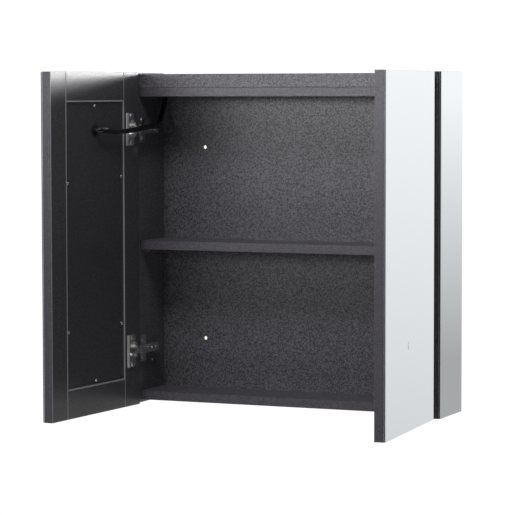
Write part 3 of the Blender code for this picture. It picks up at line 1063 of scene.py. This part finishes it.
def tube(name, points, diameter, sides=20):
    """A closed round tube along these points, its rings carried on without twist."""
    bm = bmesh.new()
    rings = []
    tangent = (points[1] - points[0]).normalized()
    across = tangent.orthogonal().normalized()
    for i, point in enumerate(points):
        along = (points[min(i + 1, len(points) - 1)] - points[max(i - 1, 0)]).normalized()
        across = tangent.rotation_difference(along) @ across
        tangent = along
        other = tangent.cross(across)
        radius = diameter / 2
        ring = [point + radius * (step.x * across + step.y * other) for step in round_steps(sides)]
        rings.append([bm.verts.new(spot) for spot in ring])
    for ring, after in zip(rings, rings[1:]):
        for k in range(sides):
            m = (k + 1) % sides
            bm.faces.new((ring[k], ring[m], after[m], after[k]))
    bm.faces.new(rings[0][::-1])
    bm.faces.new(rings[-1])
    return smooth(object_of(bm, name, finish("sleeve")), 60)


class CABINET_OT_cables(bpy.types.Operator):
    """The two door cables, which run between door and cabinet, and their grommets."""

    bl_idname = "cabinet.cables"
    bl_label = "Cables"

    def execute(self, context):
        for side in SIDES:
            route = smooth_path(cable_route(side), 3 * MM)
            cable = tube(f"{side}_door_cable", route, CABLE_D)
            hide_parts(f"{side}_cable")
            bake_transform(cable)
            grommet = detail_copy(f"{side}_cable_grommet", f"{side}_grommet", finish("rubber"), 0.4 * MM, 3)
            finish_piece(grommet, f"{side}_door")
        return {"FINISHED"}


class CABINET_OT_fittings(bpy.types.Operator):
    """Shelf pins, light driver, light boards and touch module."""

    bl_idname = "cabinet.fittings"
    bl_label = "Fittings"

    def execute(self, context):
        for side in SIDES:
            for place in ("front", "rear"):
                node = f"shelf_pin_{side}_{place}"
                pin = detail_copy(node, f"{node}_piece", finish("nickel"), 0.4 * MM, 3)
                finish_piece(pin, "cabinet")
            board = frame["nodes"][f"{side}_light_board"]
            board.data.materials.clear()
            board.data.materials.append(finish("plastic"))
        module = frame["nodes"]["touch_module"]
        module.data.materials.clear()
        module.data.materials.append(finish("plastic"))
        self.driver()
        return {"FINISHED"}

    def driver(self):
        """A flat case with a slightly smaller lid."""
        low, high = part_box("light_driver")
        seam = low.z + (high.z - low.z) * 0.55
        bm = bmesh.new()
        bevelled_box(bm, low, (high.x, high.y, seam), 1.2 * MM, 3)
        inset = 0.6 * MM
        lid_low = (low.x + inset, low.y + inset, seam)
        lid_high = (high.x - inset, high.y - inset, high.z)
        bevelled_box(bm, lid_low, lid_high, 1.2 * MM, 3)
        case = smooth(object_of(bm, "driver_case", finish("plastic")))
        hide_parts("light_driver")
        finish_piece(case, "cabinet")


# Studio

def world(light):
    """A white backdrop in view. The pieces reflect it graded, with a bright window and a dim room ahead."""
    made = bpy.data.worlds.new("Studio")
    made.use_nodes = True
    bpy.context.scene.world = made
    tree = made.node_tree
    tree.nodes.clear()
    way = add_node(tree, "ShaderNodeTexCoord").outputs["Generated"]
    parts = add_node(tree, "ShaderNodeSeparateXYZ", {"Vector": way}).outputs

    def eased(source, start, end, low, high):
        ends = {"Value": source, "From Min": start, "From Max": end, "To Min": low, "To Max": high}
        return add_node(tree, "ShaderNodeMapRange", ends).outputs[0]

    def maths(operation, *values):
        return add_node(tree, "ShaderNodeMath", dict(enumerate(values)), operation=operation).outputs[0]

    # The backdrop darkens downwards: slowly where a door's mirror looks, faster where a side's does
    slope = eased(parts["X"], 0.22, 0.31, 1.85, 5.6)
    level = eased(parts["X"], 0.22, 0.31, 0.965, 1.0)
    least = eased(parts["X"], 0.22, 0.31, 0.5, 0.4)
    fall = maths("MULTIPLY_ADD", parts["Z"], slope, level)
    graded = maths("MINIMUM", maths("MAXIMUM", fall, least), 1.0)

    # The window is a low bright patch that shines on the top of the left door's inner face
    window = eased(parts["X"], 0.4, 0.52, 0.0, light.window)
    for edge in (
        eased(parts["X"], 0.7, 0.8, 1.0, 0.0),
        eased(parts["Z"], -0.012, 0.03, 0.0, 1.0),
        eased(parts["Z"], 0.1, 0.16, 1.0, 0.0),
    ):
        window = maths("MULTIPLY", window, edge)
    behind = eased(parts["Y"], -0.1, 0.4, 0.0, 1.0)
    lit = maths("MULTIPLY", maths("ADD", graded, window), behind)
    seen = maths("MULTIPLY_ADD", lit, light.backdrop, light.room)
    direct = add_node(tree, "ShaderNodeLightPath").outputs["Is Camera Ray"]
    strength = add_node(
        tree, "ShaderNodeMix", {"Factor": direct, "A": seen, "B": 1.05}, data_type="FLOAT"
    )
    shade = add_node(
        tree, "ShaderNodeBackground", {"Color": (*light.tint, 1), "Strength": strength.outputs["Result"]}
    )
    add_node(tree, "ShaderNodeOutputWorld", {"Surface": shade.outputs[0]})


def softbox(name, place, target, width, height, power, spread=180):
    data = bpy.data.lights.new(name, "AREA")
    data.shape = "RECTANGLE"
    data.size = width
    data.size_y = height
    data.energy = power
    data.spread = math.radians(spread)
    obj = bpy.data.objects.new(name, data)
    aim = Vector(target) - Vector(place)
    obj.location = place
    obj.rotation_euler = aim.to_track_quat("-Z", "Y").to_euler()
    obj.visible_camera = False
    bpy.context.scene.collection.objects.link(obj)
    return obj


def add_camera(light):
    """The camera stands 4 m off, right of the middle and a little above it."""
    yaw = math.radians(23.399)
    pitch = math.radians(-3.84)
    roll = math.radians(-0.103)
    ahead = Vector((-math.sin(yaw) * math.cos(pitch), math.cos(yaw) * math.cos(pitch), math.sin(pitch)))
    right = Vector((math.cos(yaw), math.sin(yaw), 0))
    up = right.cross(ahead)
    level_right = right * math.cos(roll) + up * math.sin(roll)
    level_up = up * math.cos(roll) - right * math.sin(roll)
    data = bpy.data.cameras.new("Camera")
    data.lens = light.lens
    data.sensor_width = 36
    data.clip_end = 100
    camera = bpy.data.objects.new("Camera", data)
    turn = Matrix((level_right, level_up, -ahead)).transposed().to_4x4()
    camera.matrix_world = Matrix.Translation((1.68044, -4.09867, 0.26291)) @ turn
    bpy.context.scene.collection.objects.link(camera)
    bpy.context.scene.camera = camera


class CABINET_OT_stage(bpy.types.Operator):
    """Floor, backdrop, lights and camera."""

    bl_idname = "cabinet.stage"
    bl_label = "Stage"

    def execute(self, context):
        light = context.scene.cabinet_light
        bm = bmesh.new()
        bmesh.ops.create_circle(bm, cap_ends=True, radius=3.0, segments=96)
        floor = object_of(bm, "floor", finish("floor"))
        floor.location = (0, -0.2, -1.5)
        world(light)
        softbox("Key", (-0.5, -2.0, 0.5), (0.1, -0.05, 0.4), 1.5, 0.4, light.key, 24)
        softbox("Top", (0.35, -1.5, 1.9), (0.1, -0.1, 0.1), 1.0, 0.6, light.top)
        softbox("Fill", (-0.5, -2.8, 0.5), (0, -0.05, 0), 0.8, 0.7, light.fill)
        softbox("Side", (-0.8, -2.0, 0.34), (0, -0.05, -0.1), 0.8, 0.5, light.side)
        add_camera(light)
        context.scene.view_settings.view_transform = "Standard"
        return {"FINISHED"}


class CABINET_PT_panel(bpy.types.Panel):
    """Lists the pieces in the order in which they are made."""

    bl_label = "Mirror Cabinet"
    bl_idname = "CABINET_PT_panel"
    bl_space_type = "VIEW_3D"
    bl_region_type = "UI"
    bl_category = "Cabinet"

    def draw(self, context):
        column = self.layout.column()
        for operator in OPERATORS:
            column.operator(operator.bl_idname)
        for group in (context.scene.cabinet_sizes, context.scene.cabinet_light):
            for name in group.bl_rna.properties.keys():
                if name not in ("rna_type", "name"):
                    column.prop(group, name)


OPERATORS = (
    CABINET_OT_stage,
    CABINET_OT_cables,
    CABINET_OT_boards,
    CABINET_OT_back,
    CABINET_OT_sides,
    CABINET_OT_door_frames,
    CABINET_OT_door_panels,
    CABINET_OT_door_mirrors,
    CABINET_OT_hinges,
    CABINET_OT_screws,
    CABINET_OT_fittings,
)
CLASSES = (CabinetSizes, StudioLight, *OPERATORS, CABINET_PT_panel)


def register():
    for cls in CLASSES:
        bpy.utils.register_class(cls)
    bpy.types.Scene.cabinet_sizes = PointerProperty(type=CabinetSizes)
    bpy.types.Scene.cabinet_light = PointerProperty(type=StudioLight)


def unregister():
    del bpy.types.Scene.cabinet_light
    del bpy.types.Scene.cabinet_sizes
    for cls in reversed(CLASSES):
        bpy.utils.unregister_class(cls)


def main():
    register()
    for operator in OPERATORS:
        group, name = operator.bl_idname.split(".")
        getattr(getattr(bpy.ops, group), name)()
    bpy.context.view_layer.update()


if __name__ == "__main__":
    main()
